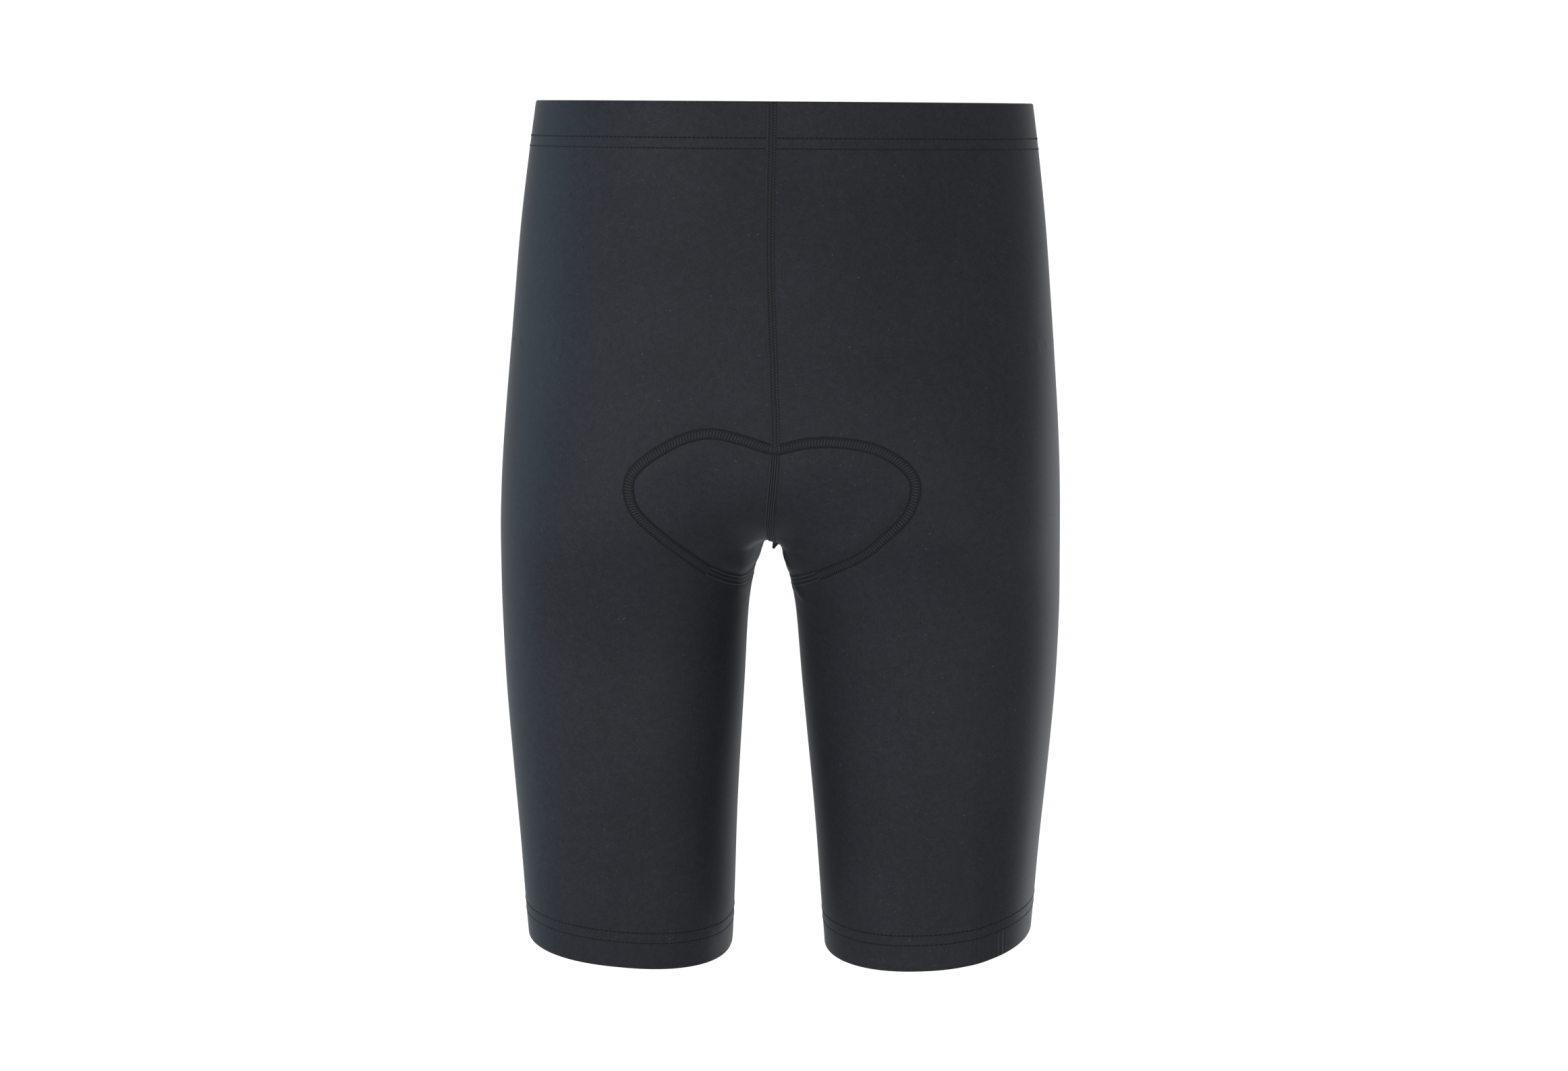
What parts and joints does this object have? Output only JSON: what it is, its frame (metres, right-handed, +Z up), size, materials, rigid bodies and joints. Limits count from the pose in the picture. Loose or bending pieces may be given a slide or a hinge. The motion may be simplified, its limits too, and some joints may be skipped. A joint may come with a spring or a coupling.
{
  "type": "cycling shorts",
  "caption": "Padded cycling shorts, filled out as if worn: two one-piece leg panels, a folded waistband and leg hems, flatlock seams, and a shaped seat pad sewn inside.",
  "frame": {"origin": "middle of the waistband ring, at half the band's height, where the wearer's waist holds the garment up", "axes": "+Z up towards the waist opening, +Y to the wearer's front, +X to the wearer's right; the centre back seam faces -Y"},
  "size_m": [0.3519, 0.2469, 0.5416],
  "materials": {
    "jersey": "smooth charcoal black stretch jersey, matt with a soft satin sheen",
    "band": "folded charcoal black stretch jersey with rows of coverstitch",
    "thread": "black textured flatlock thread, slightly ribbed",
    "pad": "brushed fleece over moulded foam, matt dark grey"
  },
  "bodies": {
    "root": {"panel_right": "jersey", "panel_left": "jersey", "waistband": "band", "hem_right": "band", "hem_left": "band", "pad": "pad", "seam_pad": "thread", "seam_back": "thread", "seam_crotch": "thread", "seam_front": "thread", "seam_inseam_right": "thread", "seam_inseam_left": "thread"}
  },
  "joints": []
}
